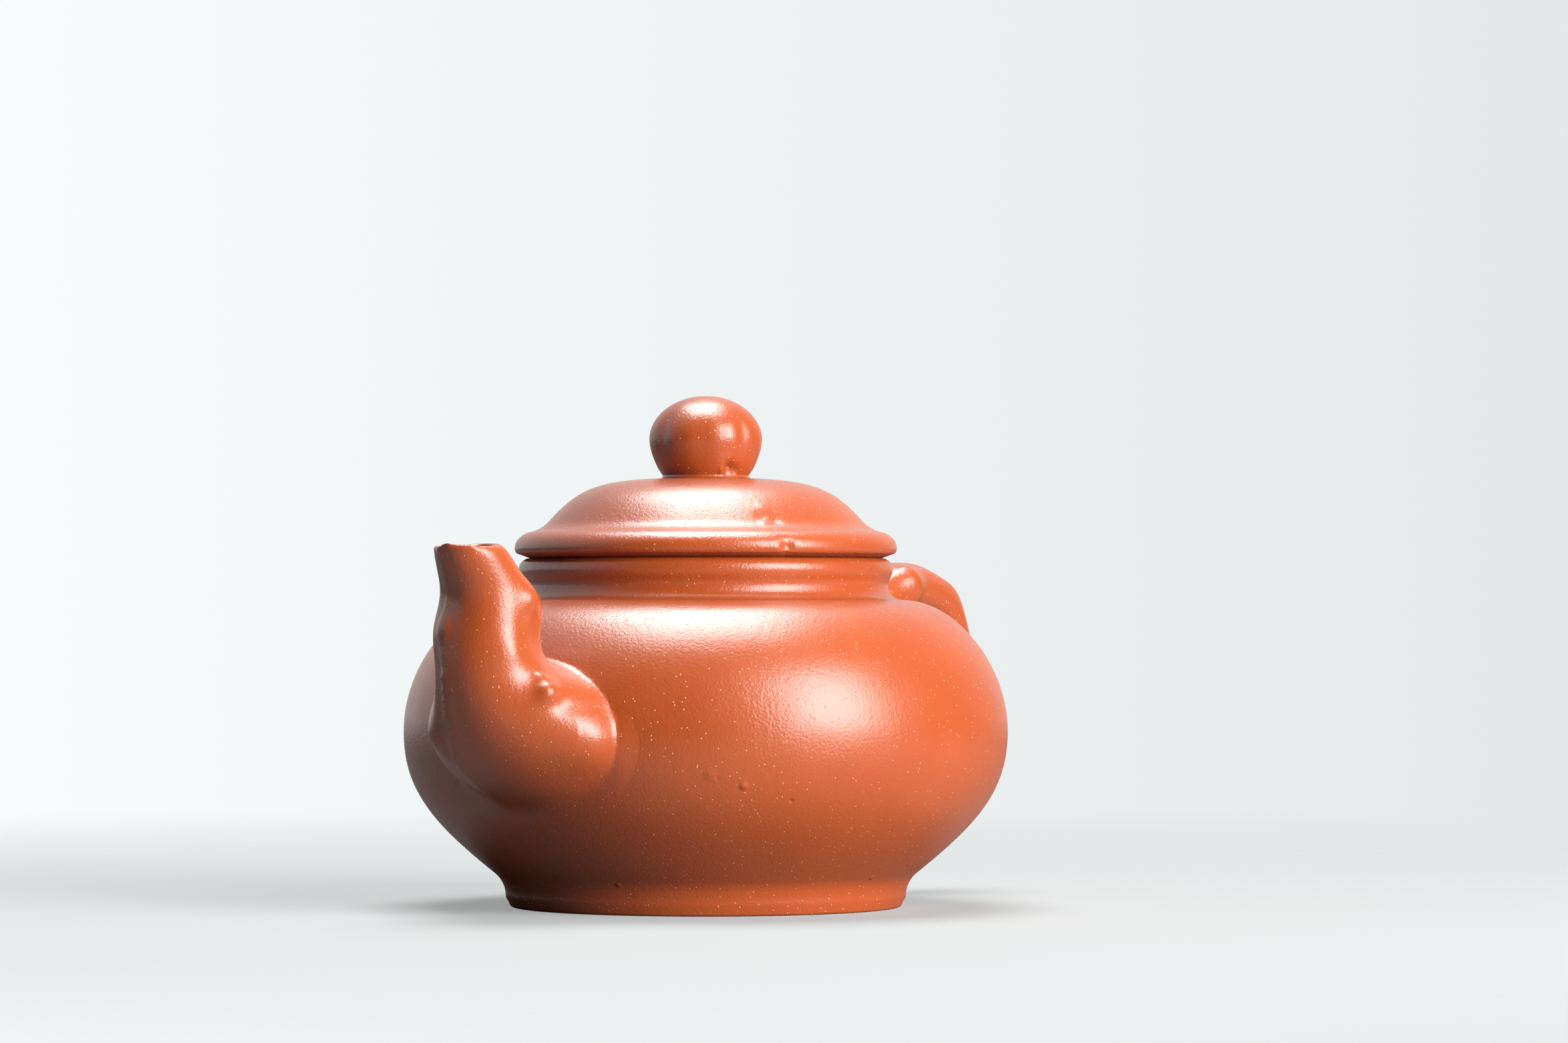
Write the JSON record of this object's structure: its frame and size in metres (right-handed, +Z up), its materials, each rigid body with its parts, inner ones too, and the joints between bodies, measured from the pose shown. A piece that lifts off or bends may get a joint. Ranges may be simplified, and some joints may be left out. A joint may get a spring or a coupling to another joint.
{
  "type": "clay teapot",
  "caption": "Small round unglazed red-clay teapot with a gnarled upright spout, an ear-shaped handle, a foot ring and a domed lift-off lid with a lobed knob.",
  "frame": {"origin": "centre of the foot on the table, on the pot's axis", "axes": "+Z up along the pot's axis, +X towards the spout, -X towards the handle"},
  "size_m": [0.1284, 0.09, 0.0758],
  "materials": {
    "burnished_clay": "unglazed orange-red clay, burnished to a waxy satin with fine pale grains",
    "bare_clay": "unglazed orange-red clay, scraped and left matt"
  },
  "bodies": {
    "pot": {"foot_ring": "burnished_clay", "base_disc": "bare_clay", "body_wall": "burnished_clay", "shoulder_disc": "burnished_clay", "neck_ring": "burnished_clay", "mouth_ring": "burnished_clay", "spout": "burnished_clay", "strainer": "bare_clay", "handle": "burnished_clay"},
    "lid": {"lid_rim": "burnished_clay", "lid_dome": "burnished_clay", "lid_flange": "bare_clay", "knob": "burnished_clay"}
  },
  "joints": [
    {"name": "lid_lift", "type": "slide", "parent": "pot", "child": "lid", "axis": [0, 0, 1], "range_m": [0, 0.08]}
  ]
}
